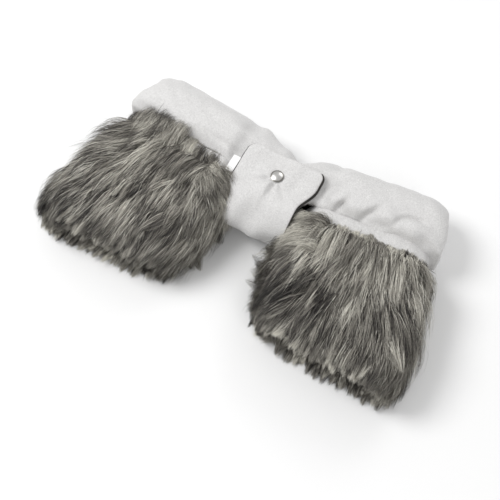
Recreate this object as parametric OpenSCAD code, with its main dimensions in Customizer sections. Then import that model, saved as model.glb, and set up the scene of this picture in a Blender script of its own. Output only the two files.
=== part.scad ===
// Hand warmer muff for a pram handlebar: two padded pouches joined by a narrow
// bridge, fur cuffs turned back over the pouches, and a press-stud flap that
// closes the bridge round the bar. Millimetres, +Z up, lying on its back panel.

/* [Pouches] */
// Turn of each roll away from the middle, in degrees
splay = 5; // [4:0.5:6]
// Further turn of each sleeve against its roll, in degrees
sleeve_turn = 5.5; // [5:0.5:6]
// Distance from the middle to the centre line of each pouch
pouch_x = 131; // [130:1:134]
// Distance from that line to the roll's end, at the crease
roll_half_w = 99; // [96:1:101]
// Slant of the roll's end, in degrees
end_slant = 8; // [6:1:9]
// Radius of the fold at the back of the roll
roll_r = 38; // [34:1:40]
// Place of the fold's centre along the pouch
fold_v = 42; // [40:1:44]
// Half width of the sleeve below the roll
sleeve_half_w = 80; // [76:1:80]
// Half thickness of the sleeve
sleeve_half_t = 29; // [26:1:30]
// Length of the sleeve from the crease to its mouth, along its centre line
sleeve_len = 152; // [130:1:160]
// Slant of the mouth, in degrees: the outer side is the longer one
mouth_slant = 16; // [12:1:18]

/* [Layers] */
// Thickness of the outer fabric
shell_t = 1.6; // [1:0.1:2]
// Thickness of the padding
wadding_t = 5; // [3:0.5:6]
// Thickness of the lining, with its pile
lining_t = 3; // [2:0.5:4]

/* [Cuffs] */
// Half width of the turned-back fur cuff
cuff_half_w = 92; // [88:1:93]
// How far the fur reaches past the end of the sleeve
cuff_past = 18; // [10:1:22]
// Width of the plain hem along the top of the cuff
hem_w = 10; // [6:1:14]
// Air between the cuff and the sleeve that it slides on
cuff_air = 0.4; // [0.3:0.1:1]
// How far the fur curls in over the mouth of the sleeve
mouth_lip = 2; // [1:1:4]

/* [Bridge and flap] */
// Half width of the bridge between the pouches
bridge_half_w = 50; // [48:1:50]
// Front edge of the bridge's upper panel
bridge_top_y = -16; // [-20:1:-14]
// Front edge of the bridge's lower panel, where the front wall curves up
bridge_low_y = -28; // [-30:1:-26]
// Half width of the flap
flap_half_w = 53; // [50:1:54]
// Half width of the front wall and of the flap's front end
wall_half_w = 43; // [40:1:43]
// How far round the front curve the flap folds, in degrees above its middle
fold_angle = 50; // [45:1:55]
// Free edge of the flap
flap_tip_y = 31; // [26:1:36]
// Radius of the flap's two free corners
flap_corner_r = 10; // [6:1:14]
// Thickness of the flap's fabric
flap_shell_t = 1.5; // [1:0.1:2]
// Thickness of the flap's dark lining
flap_lining_t = 2.3; // [1.5:0.1:3]

/* [Press stud] */
// Radius of the domed cap
cap_r = 8.5; // [6:0.5:9]
// Height of the domed cap
cap_h = 2.2; // [1.6:0.1:3]
// Radius of the socket, the stud and the back ring
stud_r = 6.5; // [6:0.5:7]
// Radius of the stud's head
head_r = 2.7; // [2.5:0.1:2.8]

/* [Label] */
// Width of the folded label along the flap's edge
label_w = 24; // [18:1:26]
// How far the label sticks out of the edge
label_len = 10.6; // [8:0.1:11]

/* [Hidden] */
$fn = 64;
far = 600;
eps = 0.01;

// The middle height of the pouches and the bridge, which lie on z = 0
mid_z = roll_r;
// The crease between roll and sleeve, along the pouch, and where the roll starts to thin
crease_v = 0;
thin_v = 12;
mouth_v = crease_v - sleeve_len;
// Depth of each layer's outer and inner face below the outer surface
shell_in = shell_t;
wadding_in = shell_in + wadding_t;
lining_in = wadding_in + lining_t;
// Pouches start just outside the bridge
pouch_start = bridge_half_w + 0.4;
// Fold of the bridge in line with the folds of the pouches
bridge_fold_y = 25;
// Cuff: its outside matches the roll's thickness, so that both lie on the ground
cuff_end_v = mouth_v - cuff_past;
fur_top_v = crease_v - hem_w;
hem_t = 3.6;
// Side opening of each roll, where the handlebar goes through
slit_v0 = 4;
slit_v1 = 62;
slit_half_t = 16;
// Flap stack, from the top of the bridge upwards
bridge_top_z = 2 * roll_r;
flap_z = bridge_top_z + 4;
flap_split_z = flap_z + flap_lining_t;
flap_top_z = flap_split_z + flap_shell_t;
flap_t = flap_shell_t + flap_lining_t;
// The front curve: its outer radius brings it from the ground up to the flap's top
curve_r = flap_top_z / 2;
// The flap folds outwards about the middle of its outer fabric, up to open_angle
hinge_r = curve_r - flap_shell_t / 2;
hinge_y = bridge_low_y - hinge_r * cos(fold_angle);
hinge_z = curve_r + hinge_r * sin(fold_angle);
open_angle = 150;
hinge_bead_r = flap_shell_t / 2 - 0.05;
hinge_gap_r = flap_shell_t / 2 * tan(open_angle / 2) + 0.3;
// Where the flap starts and ends its taper
taper_y0 = -45;
taper_y1 = -23;
// Press stud
shank_r = 1.8;
barrel_r = 2.2;
flange_t = 0.6;
ring_t = 1;
head_top = flap_z - 1.0;
socket_bore_r = head_r + 0.8;
socket_bottom = flap_z - 3;
spring_wire_r = 0.35;
spring_r = socket_bore_r + 0.15;
spring_z = socket_bottom + 1.1;
groove_r = spring_r + spring_wire_r + 0.05;
// Label
label_y0 = -22;
label_t = 0.9;
label_hinge_x = -(flap_half_w + 0.9);
label_z = flap_z + flap_t / 2;
// The origin lies under the middle of the whole part
sleeve_splay = splay + sleeve_turn;
cuff_low_v = cuff_end_v - cuff_half_w * tan(mouth_slant);
cuff_low_y = cuff_low_v * cos(sleeve_splay) + cuff_half_w * sin(sleeve_splay);
fold_high_v = fold_v + roll_r;
fold_high_u = roll_half_w - fold_high_v * tan(end_slant);
fold_high_y = fold_high_v * cos(splay) + fold_high_u * sin(splay);
origin_shift = -(cuff_low_y + fold_high_y) / 2;

light_grey = [0.84, 0.84, 0.85];
dark_grey = [0.2, 0.19, 0.19];
fur_grey = [0.48, 0.46, 0.43];
white = [0.95, 0.95, 0.94];
steel = [0.8, 0.8, 0.78];

// ---- Pouches -------------------------------------------------------------

// Puts a child drawn for the right pouch in its place, or mirrors it to the left
module pouch_place(side) {
    translate([0, origin_shift, 0])
        mirror([side < 0 ? 1 : 0, 0, 0])
            translate([pouch_x, 0, 0])
                rotate([0, 0, splay])
                    children();
}

// Keeps what lies outside the bridge, on one side of the middle
module beyond_bridge(side) {
    intersection() {
        children();
        translate([side > 0 ? pouch_start : -pouch_start - far, -far / 2, -far / 2])
            cube([far, far, far]);
    }
}

// Extrudes a (v, z) outline along u, from u0 to u1
module along_u(u0, u1) {
    translate([u0, 0, 0])
        rotate([90, 0, 90])
            linear_extrude(u1 - u0)
                children();
}

// Extrudes a (u, z) outline along the pouch, from v0 up to v1
module along_v(v0, v1) {
    translate([0, v1, 0])
        rotate([90, 0, 0])
            linear_extrude(v1 - v0)
                children();
}

// A flat-sided outline with round ends, centred at mid_z
module oblong(half_w, half_t) {
    end_x = half_w - half_t;
    union() {
        translate([-end_x, mid_z - half_t])
            square([2 * end_x, 2 * half_t]);
        for (x = [-end_x, end_x])
            translate([x, mid_z])
                circle(half_t);
    }
}

// Section through the roll: round fold, flat panels, thinning towards the crease
module roll_outline(inset, low_v) {
    r = roll_r - inset;
    t = sleeve_half_t - inset;
    union() {
        translate([fold_v, mid_z])
            circle(r);
        polygon([[fold_v, mid_z - r], [fold_v, mid_z + r], [thin_v, mid_z + r],
                 [crease_v, mid_z + t], [low_v, mid_z + t], [low_v, mid_z - t],
                 [crease_v, mid_z - t], [thin_v, mid_z - r]]);
    }
}

// A tall prism between two lines across the sleeve, each at its own slant
module band(v0, slant0, v1, slant1) {
    reach = 200;
    rise0 = reach * tan(slant0);
    rise1 = reach * tan(slant1);
    translate([0, 0, -far / 2])
        linear_extrude(far)
            polygon([[-reach, v0 + rise0], [reach, v0 - rise0], [reach, v1 - rise1], [-reach, v1 + rise1]]);
}

// A length of the sleeve's section between two slanted lines, turned against the roll
module sleeve_part(half_w, half_t, v0, slant0, v1, slant1) {
    rotate([0, 0, sleeve_turn])
        intersection() {
            along_v(-260, 160)
                oblong(half_w, half_t);
            band(v0, slant0, v1, slant1);
        }
}

// Everything inside the face that lies inset below the pouch's outer surface
module pouch_solid(inset, low_v) {
    union() {
        intersection() {
            along_u(-120, roll_half_w)
                roll_outline(inset, crease_v);
            translate([roll_half_w - inset, 0, -far / 2])
                rotate([0, 0, end_slant])
                    translate([-far, -far / 2, 0])
                        cube([far, far, far]);
        }
        sleeve_part(sleeve_half_w - inset, sleeve_half_t - inset, low_v, mouth_slant, fold_v - 12, 0);
    }
}

// The side opening where the handlebar leaves the roll
module bar_slit() {
    along_u(roll_half_w - 30, roll_half_w + 10)
        translate([slit_v0, mid_z - slit_half_t])
            square([slit_v1 - slit_v0, 2 * slit_half_t]);
}

// One layer of a pouch, open at its mouth, at its slit and towards the bridge
module pouch_layer(side, inset0, inset1) {
    beyond_bridge(side)
        pouch_place(side)
            difference() {
                pouch_solid(inset0, mouth_v);
                pouch_solid(inset1, mouth_v - 10);
                bar_slit();
            }
}

module pouch_shell(side) {
    color(light_grey)
        pouch_layer(side, 0, shell_in);
}

module pouch_wadding(side) {
    color(white)
        pouch_layer(side, shell_in, wadding_in);
}

module pouch_lining(side) {
    color(fur_grey)
        pouch_layer(side, wadding_in, lining_in);
}

// ---- Cuffs ---------------------------------------------------------------

// Fur turned back over the sleeve, curling in over the mouth
module cuff_fur(side) {
    lip_in = lining_in + mouth_lip;
    color(fur_grey)
        pouch_place(side)
            difference() {
                sleeve_part(cuff_half_w, roll_r, cuff_end_v, mouth_slant, fur_top_v, sleeve_turn);
                sleeve_part(sleeve_half_w + cuff_air, sleeve_half_t + cuff_air,
                            mouth_v - cuff_air, mouth_slant, fur_top_v + 1, sleeve_turn);
                sleeve_part(sleeve_half_w - lip_in, sleeve_half_t - lip_in,
                            cuff_end_v - 1, mouth_slant, fur_top_v + 1, sleeve_turn);
            }
}

// Plain fabric edge of the cuff, towards the roll
module cuff_hem(side) {
    inner_w = sleeve_half_w + cuff_air;
    inner_t = sleeve_half_t + cuff_air;
    color(light_grey)
        pouch_place(side)
            difference() {
                sleeve_part(inner_w + hem_t, inner_t + hem_t,
                            fur_top_v, sleeve_turn, crease_v - cuff_air, sleeve_turn);
                sleeve_part(inner_w, inner_t, fur_top_v - 1, sleeve_turn, crease_v + 1, sleeve_turn);
            }
}

// ---- Bridge --------------------------------------------------------------

module at_middle() {
    translate([0, origin_shift, 0])
        children();
}

// Section through the bridge at a depth below its outer surface, open to the front
module bridge_outline(inset) {
    r = roll_r - inset;
    union() {
        translate([bridge_fold_y, mid_z])
            circle(r);
        translate([-far, mid_z - r])
            square([far + bridge_fold_y, 2 * r]);
    }
}

// One layer of the bridge: lower panel, fold, and the shorter upper panel
module bridge_layer(inset0, inset1) {
    at_middle()
        along_u(-bridge_half_w, bridge_half_w)
            intersection() {
                difference() {
                    bridge_outline(inset0);
                    bridge_outline(inset1);
                }
                union() {
                    translate([bridge_low_y, -1])
                        square([200, mid_z + 1]);
                    translate([bridge_top_y, mid_z])
                        square([200, mid_z + 1]);
                }
            }
}

module bridge_shell() {
    color(light_grey)
        difference() {
            bridge_layer(0, shell_in);
            snap_hole(barrel_r);
        }
}

module bridge_wadding() {
    color(white)
        difference() {
            bridge_layer(shell_in, wadding_in);
            at_middle()
                translate([0, 0, bridge_top_z - shell_in - ring_t - 0.2])
                    cylinder(r = stud_r + 0.2, h = ring_t + 0.2 + eps);
        }
}

module bridge_lining() {
    color(fur_grey)
        bridge_layer(wadding_in, lining_in);
}

// Section of everything inside a depth: the round front curve, then flat over the top
module flap_face(depth) {
    r = curve_r - depth;
    union() {
        translate([bridge_low_y, curve_r])
            circle(r);
        translate([bridge_low_y, curve_r - r])
            square([far, 2 * r]);
    }
}

// Section of the fabric between two depths, clipped to the area given by clip's points
module flap_outline(depth0, depth1, clip) {
    intersection() {
        difference() {
            flap_face(depth0);
            flap_face(depth1);
        }
        polygon(clip);
    }
}

// A point far out from the front curve's centre, at an angle above its middle
function beyond_curve(a) = [bridge_low_y - 2 * curve_r * cos(a), curve_r + 2 * curve_r * sin(a)];

// The flap's fixed part, sewn to the lower panel, which curves up in front of the bar
module front_wall(depth0, depth1) {
    at_middle()
        along_u(-wall_half_w, wall_half_w)
            difference() {
                flap_outline(depth0, depth1, [[bridge_low_y, curve_r], beyond_curve(-90),
                                              beyond_curve(-40), beyond_curve(fold_angle)]);
                translate([hinge_y, hinge_z])
                    circle(hinge_gap_r);
            }
}

module front_wall_shell() {
    color(light_grey)
        front_wall(0, flap_shell_t);
}

module front_wall_lining() {
    color(dark_grey)
        front_wall(flap_shell_t, flap_t);
}

// ---- Flap ----------------------------------------------------------------

// Points along an arc of the flap's corner radius
function corner_arc(x, y, a0, a1) =
    [for (i = [0:8]) let (a = a0 + (a1 - a0) * i / 8) [x + flap_corner_r * cos(a), y + flap_corner_r * sin(a)]];

// A tall prism over the flap's plan: tapered in front, with two rounded corners at its free edge
module flap_plan() {
    straight_y = flap_tip_y - flap_corner_r;
    straight_x = flap_half_w - flap_corner_r;
    linear_extrude(far)
        polygon(concat([[-flap_half_w, taper_y1], [-wall_half_w, taper_y0], [-wall_half_w, hinge_y - 5],
                        [wall_half_w, hinge_y - 5], [wall_half_w, taper_y0], [flap_half_w, taper_y1]],
                       corner_arc(straight_x, straight_y, 0, 90),
                       corner_arc(-straight_x, straight_y, 90, 180)));
}

// Section of the moving flap: the last of the front curve from start_angle, then on to the free edge
module moving_outline(depth0, depth1, start_angle) {
    flap_outline(depth0, depth1, [[bridge_low_y, curve_r], beyond_curve(start_angle), beyond_curve(75),
                                  [flap_tip_y, far], [flap_tip_y, curve_r]]);
}

module flap_shell() {
    color(light_grey)
        at_middle()
            difference() {
                intersection() {
                    along_u(-flap_half_w, flap_half_w)
                        union() {
                            moving_outline(0, flap_shell_t, fold_angle);
                            translate([hinge_y, hinge_z])
                                circle(hinge_bead_r);
                        }
                    flap_plan();
                }
                cylinder(r = shank_r, h = far);
            }
}

module flap_lining() {
    clear_angle = asin((hinge_bead_r + 0.2) / hinge_r);
    color(dark_grey)
        at_middle()
            difference() {
                intersection() {
                    along_u(-flap_half_w, flap_half_w)
                        moving_outline(flap_shell_t, flap_t, fold_angle + clear_angle);
                    flap_plan();
                }
                cylinder(r = shank_r, h = far);
            }
}

// ---- Press stud ----------------------------------------------------------

module snap_hole(r) {
    at_middle()
        translate([0, 0, bridge_top_z - wadding_t])
            cylinder(r = r, h = 20);
}

// Back ring under the bridge's fabric, with the barrel that grips the stud
module snap_post() {
    color(steel)
        at_middle() {
            translate([0, 0, bridge_top_z - shell_in - ring_t])
                cylinder(r = stud_r, h = ring_t);
            translate([0, 0, bridge_top_z - shell_in])
                cylinder(r = barrel_r, h = head_top - flange_t - bridge_top_z + shell_in);
        }
}

// Stud on the bridge: a flange and a waisted head
module snap_stud() {
    neck_r = head_r - 0.4;
    base = bridge_top_z + flange_t;
    color(steel)
        at_middle()
            difference() {
                union() {
                    translate([0, 0, bridge_top_z])
                        cylinder(r = stud_r, h = flange_t);
                    translate([0, 0, base])
                        cylinder(r = neck_r, h = head_top - base);
                    translate([0, 0, spring_z + spring_wire_r])
                        cylinder(r = head_r, h = head_top - spring_z - spring_wire_r);
                }
                translate([0, 0, bridge_top_z - 1])
                    cylinder(r = barrel_r, h = head_top - flange_t - bridge_top_z + 1);
            }
}

// Socket under the flap, with a groove for the ring spring
module snap_socket() {
    web = 0.6;
    color(steel)
        at_middle()
            difference() {
                translate([0, 0, socket_bottom])
                    cylinder(r = stud_r, h = flap_z - socket_bottom);
                translate([0, 0, socket_bottom - 1])
                    cylinder(r = socket_bore_r, h = flap_z - web - socket_bottom + 1);
                translate([0, 0, spring_z - spring_wire_r])
                    cylinder(r = groove_r, h = 2 * spring_wire_r);
                cylinder(r = shank_r, h = far);
            }
}

// Ring spring that clicks over the stud's head
module snap_spring() {
    color(steel)
        at_middle()
            translate([0, 0, spring_z])
                rotate_extrude()
                    translate([spring_r, 0])
                        circle(spring_wire_r, $fn = 24);
}

// Domed cap on the flap, with the shank that holds the socket
module snap_cap() {
    dome_r = (cap_r * cap_r + cap_h * cap_h) / (2 * cap_h);
    color(steel)
        at_middle()
            union() {
                intersection() {
                    translate([0, 0, flap_top_z + cap_h - dome_r])
                        sphere(dome_r, $fn = 128);
                    translate([0, 0, flap_top_z])
                        cylinder(r = cap_r, h = cap_h + 1);
                }
                translate([0, 0, flap_z - 0.5])
                    cylinder(r = shank_r, h = flap_t + 0.5);
            }
}

// ---- Label ---------------------------------------------------------------

// Folded woven tape, sewn into the left edge of the flap
module side_label() {
    color(white)
        at_middle()
            translate([0, label_y0, 0])
                union() {
                    translate([label_hinge_x - label_len + label_t / 2, 0, label_z - label_t / 2])
                        cube([label_len - label_t / 2, label_w, label_t]);
                    translate([label_hinge_x, 0, label_z])
                        rotate([-90, 0, 0])
                            cylinder(r = label_t / 2, h = label_w);
                }
}

// ---- Nodes ---------------------------------------------------------------

bridge_shell();
bridge_wadding();
bridge_lining();
front_wall_shell();
front_wall_lining();
snap_post();
snap_stud();
flap_shell();
flap_lining();
snap_cap();
snap_socket();
snap_spring();
side_label();
pouch_shell(-1);  // left_shell
pouch_wadding(-1);  // left_wadding
pouch_lining(-1);  // left_lining
cuff_fur(-1);  // left_cuff_fur
cuff_hem(-1);  // left_cuff_hem
pouch_shell(1);  // right_shell
pouch_wadding(1);  // right_wadding
pouch_lining(1);  // right_lining
cuff_fur(1);  // right_cuff_fur
cuff_hem(1);  // right_cuff_hem
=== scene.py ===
"""Hand warmer muff for a pram handlebar: padded grey shell, fur cuffs and a press-stud flap.
Metres, in the CAD model's own frame: +X along the handlebar, -Y towards the hand openings, +Z up."""
import math
import bmesh
import bpy
import numpy as np
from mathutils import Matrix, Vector
from mathutils.bvhtree import BVHTree
from mathutils.kdtree import KDTree


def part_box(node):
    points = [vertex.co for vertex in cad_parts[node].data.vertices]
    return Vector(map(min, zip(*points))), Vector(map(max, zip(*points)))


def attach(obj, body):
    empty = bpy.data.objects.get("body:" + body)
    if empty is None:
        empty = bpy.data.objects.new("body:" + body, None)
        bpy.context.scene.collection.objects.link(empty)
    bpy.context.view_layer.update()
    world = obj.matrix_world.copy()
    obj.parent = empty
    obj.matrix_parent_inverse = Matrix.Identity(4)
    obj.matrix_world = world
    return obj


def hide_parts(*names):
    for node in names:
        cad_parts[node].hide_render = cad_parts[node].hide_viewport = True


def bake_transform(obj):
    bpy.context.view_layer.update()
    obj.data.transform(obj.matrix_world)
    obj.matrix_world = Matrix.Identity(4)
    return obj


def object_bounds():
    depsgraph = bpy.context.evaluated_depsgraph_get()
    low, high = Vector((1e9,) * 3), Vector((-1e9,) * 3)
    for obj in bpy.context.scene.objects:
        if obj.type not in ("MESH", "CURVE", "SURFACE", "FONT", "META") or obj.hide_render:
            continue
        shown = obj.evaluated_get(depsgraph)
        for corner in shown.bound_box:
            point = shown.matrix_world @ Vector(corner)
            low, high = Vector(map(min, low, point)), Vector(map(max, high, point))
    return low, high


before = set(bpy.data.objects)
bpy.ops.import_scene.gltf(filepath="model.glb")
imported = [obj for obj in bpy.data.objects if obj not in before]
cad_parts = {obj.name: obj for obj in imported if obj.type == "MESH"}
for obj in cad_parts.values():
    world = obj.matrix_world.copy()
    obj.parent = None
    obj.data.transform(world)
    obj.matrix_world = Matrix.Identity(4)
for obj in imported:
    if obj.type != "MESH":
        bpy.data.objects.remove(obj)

CAD_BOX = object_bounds()
# Angles of the roll and of the sleeve against the row, and the point where both frames start
ROLL_TURN = math.radians(5)
SLEEVE_TURN = math.radians(10.5)
POUCH_X = 0.131
SHIFT_Y = float(np.mean([c[1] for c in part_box("snap_cap")]))
MID_Z = 0.038
SLEEVE_HW, SLEEVE_HT = 0.080, 0.029
# Slopes, across the sleeve, of the cuff's top edge and of its mouth
TOP_SLOPE = math.tan(math.radians(5.5))
MOUTH_SLOPE = math.tan(math.radians(16))
END_SLOPE = math.tan(math.radians(8))
ROLL_HW = 0.099
BRIDGE_HW = 0.050
SIDES = {"left": -1, "right": 1}


# ---- Small helpers ---------------------------------------------------------


def place(side, p, angle=SLEEVE_TURN):
    """Sleeve coordinates (across u, along v, up z) to the row frame. The left pouch is the mirror image."""
    p = np.asarray(p, float)
    c, s = math.cos(angle), math.sin(angle)
    x = POUCH_X + p[..., 0] * c - p[..., 1] * s
    y = SHIFT_Y + p[..., 0] * s + p[..., 1] * c
    return np.stack([side * x, y, p[..., 2]], -1)


def turn(side, d):
    """The same for directions."""
    return place(side, np.asarray(d, float)) - place(side, np.zeros(3))


def unplace(p, angle=ROLL_TURN):
    """Row frame to the coordinates of the roll on that side."""
    p = np.asarray(p, float)
    c, s = math.cos(angle), math.sin(angle)
    x, y = np.abs(p[..., 0]) - POUCH_X, p[..., 1] - SHIFT_Y
    return np.stack([x * c + y * s, -x * s + y * c, p[..., 2]], -1)


def smooth(a, b, x):
    t = np.clip((x - a) / (b - a), 0, 1)
    return t * t * (3 - 2 * t)


class Noise:
    """Smooth noise from a few seeded waves, roughly -1 to 1."""

    def __init__(self, seed, size, count=10, dim=3):
        r = np.random.default_rng(seed)
        d = r.normal(size=(count, dim))
        d /= np.linalg.norm(d, axis=1, keepdims=True)
        self.k = d * (2 * math.pi / size) * r.uniform(0.6, 1.5, (count, 1))
        self.f = r.uniform(0, 2 * math.pi, count)
        self.n = math.sqrt(count / 2)

    def __call__(self, p):
        return np.sin(np.asarray(p) @ self.k.T + self.f).sum(-1) / self.n


def new_object(name, verts, faces, mats=(), index=None, smooth_faces=True):
    mesh = bpy.data.meshes.new(name)
    mesh.from_pydata([tuple(v) for v in verts], [], [tuple(f) for f in faces])
    for m in mats:
        mesh.materials.append(m)
    if index is not None:
        mesh.polygons.foreach_set("material_index", np.asarray(index, np.int32))
    mesh.polygons.foreach_set("use_smooth", [smooth_faces] * len(mesh.polygons))
    mesh.update()
    ob = bpy.data.objects.new(name, mesh)
    bpy.context.scene.collection.objects.link(ob)
    return ob


def grid_faces(nu, nv, close_u=False, close_v=False, base=0, flip=False):
    """Quads over a grid of nu by nv points, stored row by row (v fastest)."""
    out = []
    for i in range(nu if close_u else nu - 1):
        for j in range(nv if close_v else nv - 1):
            a = base + i * nv + j
            b = base + i * nv + (j + 1) % nv
            c = base + ((i + 1) % nu) * nv + (j + 1) % nv
            d = base + ((i + 1) % nu) * nv + j
            out.append((a, d, c, b) if flip else (a, b, c, d))
    return out


def points_of(ob):
    co = np.empty(len(ob.data.vertices) * 3)
    ob.data.vertices.foreach_get("co", co)
    return co.reshape(-1, 3)


def set_points(ob, co):
    ob.data.vertices.foreach_set("co", np.asarray(co, float).ravel())
    ob.data.update()


def normals_of(ob):
    n = np.empty(len(ob.data.vertices) * 3)
    ob.data.vertices.foreach_get("normal", n)
    return n.reshape(-1, 3)


def apply_modifiers(ob):
    dg = bpy.context.evaluated_depsgraph_get()
    mesh = bpy.data.meshes.new_from_object(ob.evaluated_get(dg))
    old = ob.data
    ob.modifiers.clear()
    ob.data = mesh
    bpy.data.meshes.remove(old)
    return ob


def subdivide(ob, levels=1):
    m = ob.modifiers.new("subdivide", "SUBSURF")
    m.levels = m.render_levels = levels
    return apply_modifiers(ob)


def relax(co, mesh, rounds, strength=0.5, mask=None):
    """Laplacian smoothing of the points."""
    edges = np.empty(len(mesh.edges) * 2, np.int64)
    mesh.edges.foreach_get("vertices", edges)
    edges = edges.reshape(-1, 2)
    count = np.bincount(edges.ravel(), minlength=len(co)).clip(1)[:, None]
    for _ in range(rounds):
        total = np.zeros_like(co)
        for k in range(3):
            total[:, k] = np.bincount(edges[:, 0], co[edges[:, 1], k], len(co))
            total[:, k] += np.bincount(edges[:, 1], co[edges[:, 0], k], len(co))
        step = (total / count - co) * strength
        co = co + (step if mask is None else step * mask[:, None])
    return co


# ---- Materials -------------------------------------------------------------


class Tree:
    """A short way to write node materials."""

    def __init__(self, name):
        self.mat = bpy.data.materials.new(name)
        self.mat.use_nodes = True
        self.nodes = self.mat.node_tree.nodes
        self.links = self.mat.node_tree.links
        self.shader = self.nodes["Principled BSDF"]

    def add(self, kind, **props):
        n = self.nodes.new(kind)
        for k, v in props.items():
            if isinstance(v, (int, float, tuple, bool)) and k in n.inputs:
                n.inputs[k].default_value = v
            else:
                setattr(n, k, v)
        return n

    def put(self, socket, value):
        self.shader.inputs[socket].default_value = value

    def link(self, a, b):
        self.links.new(a, b)

    def coords(self, scale=(1, 1, 1)):
        tc = self.add("ShaderNodeTexCoord")
        mp = self.add("ShaderNodeMapping")
        mp.inputs["Scale"].default_value = scale
        self.link(tc.outputs["Object"], mp.inputs["Vector"])
        return mp.outputs["Vector"]

    def noise(self, vector, scale, detail=2.0, rough=0.5):
        n = self.add("ShaderNodeTexNoise")
        n.inputs["Scale"].default_value = scale
        n.inputs["Detail"].default_value = detail
        n.inputs["Roughness"].default_value = rough
        self.link(vector, n.inputs["Vector"])
        return n.outputs["Fac"]

    def ramp(self, fac, stops):
        r = self.add("ShaderNodeValToRGB")
        els = r.color_ramp.elements
        while len(els) < len(stops):
            els.new(0.5)
        for e, (pos, col) in zip(els, stops):
            e.position = pos
            e.color = (*col, 1)
        self.link(fac, r.inputs["Fac"])
        return r.outputs["Color"]

    def mix(self, kind, fac, a, b):
        m = self.add("ShaderNodeMix", data_type="RGBA", blend_type=kind)
        m.inputs["Factor"].default_value = fac
        self.link(a, m.inputs[6])
        self.link(b, m.inputs[7])
        return m.outputs[2]

    def math(self, op, a, b=None):
        m = self.add("ShaderNodeMath", operation=op)
        for i, v in enumerate((a, b)):
            if v is None:
                continue
            if isinstance(v, (int, float)):
                m.inputs[i].default_value = v
            else:
                self.link(v, m.inputs[i])
        return m.outputs[0]

    def bump(self, height, distance, strength=0.6):
        b = self.add("ShaderNodeBump")
        b.inputs["Distance"].default_value = distance
        b.inputs["Strength"].default_value = strength
        self.link(height, b.inputs["Height"])
        self.link(b.outputs["Normal"], self.shader.inputs["Normal"])


def srgb(*c):
    return tuple(((v / 255 + 0.055) / 1.055) ** 2.4 if v > 10 else v / 255 / 12.92 for v in c)


def woven(name, light, dark, pitch=0.0007, bump=0.00025, rough=0.9, sheen=0.25):
    """A melange weave: two yarn directions, flecked with paler and darker fibres."""
    t = Tree(name)
    vec = t.coords()
    k = 1 / pitch
    along = t.noise(t.coords((0.25 * k, 1.6 * k, 0.9 * k)), 1.0, 2.0)
    across = t.noise(t.coords((1.6 * k, 0.25 * k, 0.9 * k)), 1.0, 2.0)
    stops = [(0.36, dark), (0.62, light)]
    fleck = t.mix("MIX", 0.5, t.ramp(along, stops), t.ramp(across, stops))
    cloud = t.ramp(t.noise(vec, 26.0, 3.0), [(0.3, (0.975, 0.975, 0.975)), (0.7, (1, 1, 1))])
    t.link(t.mix("MULTIPLY", 1.0, fleck, cloud), t.shader.inputs["Base Color"])
    t.bump(t.math("ADD", along, across), bump)
    t.put("Roughness", rough)
    t.put("Sheen Weight", sheen)
    t.put("Sheen Roughness", 0.5)
    t.put("Specular IOR Level", 0.25)
    return t.mat


def pile(name, light, dark, grain=0.0016, bump=0.0006):
    """Short-pile fleece or plush."""
    t = Tree(name)
    vec = t.coords()
    fine = t.noise(vec, 1 / grain, 3.0, 0.65)
    broad = t.noise(vec, 60.0, 2.0)
    stops = [(0.3, dark), (0.7, light)]
    colour = t.mix("MIX", 0.35, t.ramp(fine, stops), t.ramp(broad, stops))
    t.link(colour, t.shader.inputs["Base Color"])
    t.bump(fine, bump, 0.8)
    t.put("Roughness", 0.95)
    t.put("Sheen Weight", 0.3)
    t.put("Specular IOR Level", 0.2)
    return t.mat


def metal(name, colour, rough, rim=None):
    """Plated metal. rim gives the two radii round the press stud between which the colour darkens into a
    painted shade ring at the cap's edge.
    """
    t = Tree(name)
    vec = t.coords()
    fine = t.noise(vec, 900.0, 3.0)
    r = t.add("ShaderNodeMapRange")
    r.inputs["To Min"].default_value = rough * 0.8
    r.inputs["To Max"].default_value = rough * 1.3
    t.link(fine, r.inputs["Value"])
    t.link(r.outputs["Result"], t.shader.inputs["Roughness"])
    base = t.ramp(t.noise(vec, 220.0, 2.0), [(0.3, tuple(0.88 * c for c in colour)), (0.7, colour)])
    if rim:
        where = t.add("ShaderNodeMapping")
        where.inputs["Location"].default_value = (0, -SHIFT_Y, 0)
        where.inputs["Scale"].default_value = (1, 1, 0)
        t.link(t.nodes["Texture Coordinate"].outputs["Object"], where.inputs["Vector"])
        length = t.add("ShaderNodeVectorMath", operation="LENGTH")
        t.link(where.outputs["Vector"], length.inputs[0])
        # Painted shade: the colour darkens between the two radii of rim and stays dark beyond them, a shade
        # ring round the cap's edge
        share = t.math("MULTIPLY", length.outputs["Value"], 100.0)
        shade = t.ramp(share, [(100 * rim[0], (1, 1, 1)), (100 * rim[1], (0.38, 0.37, 0.35))])
        base = t.mix("MULTIPLY", 1.0, base, shade)
    t.link(base, t.shader.inputs["Base Color"])
    t.put("Metallic", 1.0)
    return t.mat


SHELL = woven("grey_melange", srgb(220, 219, 218), srgb(184, 183, 182))
HEM = woven("grey_hem", srgb(219, 218, 217), srgb(184, 183, 182))
CHARCOAL = pile("charcoal_pile", srgb(62, 58, 55), srgb(24, 22, 21))
LINING = pile("inner_fleece", srgb(128, 123, 117), srgb(66, 62, 58), grain=0.0022)
BACKING = pile("fur_backing", srgb(92, 88, 82), srgb(48, 45, 42), grain=0.002)
TAPE = woven("label_tape", srgb(250, 250, 249), srgb(228, 228, 227), pitch=0.0004, bump=0.00012)
NICKEL = metal("nickel_plate", (0.66, 0.65, 0.63), 0.33)
# The cap's colour carries a painted shade ring round its edge
SHADED_RIM_CAP = metal("nickel_cap_painted_rim_shade", (0.70, 0.69, 0.67), 0.30, rim=(0.0062, 0.0074))
STEEL = metal("spring_steel", (0.5, 0.5, 0.5), 0.3)

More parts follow.
